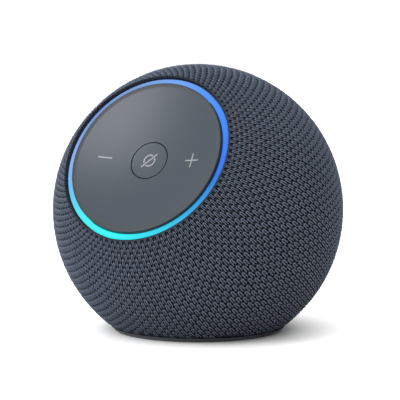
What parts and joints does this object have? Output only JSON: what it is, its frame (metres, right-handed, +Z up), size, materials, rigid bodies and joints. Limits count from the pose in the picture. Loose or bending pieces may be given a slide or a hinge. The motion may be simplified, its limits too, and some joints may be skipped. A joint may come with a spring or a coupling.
{
  "type": "smart home hub",
  "caption": "Ball-shaped smart home hub with a knit cover, a tilted dished control face, a light ring and a loudspeaker.",
  "frame": {"origin": "centre of the flat base, on the surface that it stands on", "axes": "+Z up; -Y towards the front, the way that the tilted control face looks; +X to the right as seen from the front"},
  "size_m": [0.1086, 0.1083, 0.0992],
  "materials": {
    "knit_fabric": "3D knit, slate grey",
    "shell_plastic": "fine matt texture",
    "foot_rubber": "satin",
    "panel_plastic": "satin",
    "mark_window": "translucent white",
    "light_diffuser": "translucent, lit",
    "black_plastic": "matt",
    "silicone": "matt",
    "rubber_soft": "matt",
    "circuit_board": "solder mask over glass-epoxy",
    "chip_package": "moulded epoxy",
    "led_package": "white",
    "polyimide_film": "amber film",
    "steel": "zinc plated",
    "tinned_steel": "bright tin",
    "aluminium": "as extruded",
    "ferrite": "sintered",
    "copper": "enamelled winding",
    "cone_paper": "coated pulp",
    "spider_cloth": "resin-stiffened weave",
    "cable_sheath": "smooth"
  },
  "bodies": {
    "hub": {"knit_cover": "knit_fabric", "upper_shell": "shell_plastic", "lower_shell": "shell_plastic", "inlet_bezel": "shell_plastic", "rubber_foot": "foot_rubber", "control_panel": "panel_plastic", "volume_marks": "mark_window", "light_ring": "light_diffuser", "light_baffle": "black_plastic", "face_carrier": "black_plastic", "chamber_cup": "black_plastic", "chamber_plate": "black_plastic", "driver_basket": "black_plastic", "acoustic_deflector": "black_plastic", "dc_jack": "black_plastic", "lead_terminal": "black_plastic", "mute_switch": "black_plastic", "mute_return_pad": "silicone", "surround": "rubber_soft", "chamber_gasket": "rubber_soft", "thermal_pad": "rubber_soft", "led_board": "circuit_board", "control_board": "circuit_board", "main_board": "circuit_board", "power_board": "circuit_board", "control_chips": "chip_package", "main_chips": "chip_package", "ring_leds": "led_package", "touch_film": "polyimide_film", "control_flex": "polyimide_film", "antenna_left": "polyimide_film", "antenna_right": "polyimide_film", "shell_screws": "steel", "carrier_screws": "steel", "control_screws": "steel", "board_screws": "steel", "chamber_screws": "steel", "driver_screws": "steel", "ballast_screws": "steel", "power_board_screws": "steel", "front_washer": "steel", "pole_piece": "steel", "ballast": "steel", "jack_pin": "steel", "shield_cans": "tinned_steel", "microphones": "tinned_steel", "heat_sink": "aluminium", "driver_magnet": "ferrite", "spider": "spider_cloth", "antenna_cables": "cable_sheath", "speaker_leads": "cable_sheath", "power_leads": "cable_sheath"},
    "mute_button": {"mute_button": "panel_plastic", "mute_icon": "mark_window"},
    "speaker_cone": {"driver_cone": "cone_paper", "voice_coil": "copper", "dust_cap": "cone_paper"}
  },
  "joints": [
    {"name": "mute_press", "type": "slide", "parent": "hub", "child": "mute_button", "axis": [0, 0.866, -0.5], "range_m": [0, 0.0005], "stiffness_N_per_m": 3000, "springref_m": -0.0002, "deforming": ["mute_return_pad"]},
    {"name": "cone_excursion", "type": "slide", "parent": "hub", "child": "speaker_cone", "axis": [0, 0, 1], "range_m": [-0.002, 0.002], "stiffness_N_per_m": 1500, "deforming": ["surround", "spider"]}
  ]
}
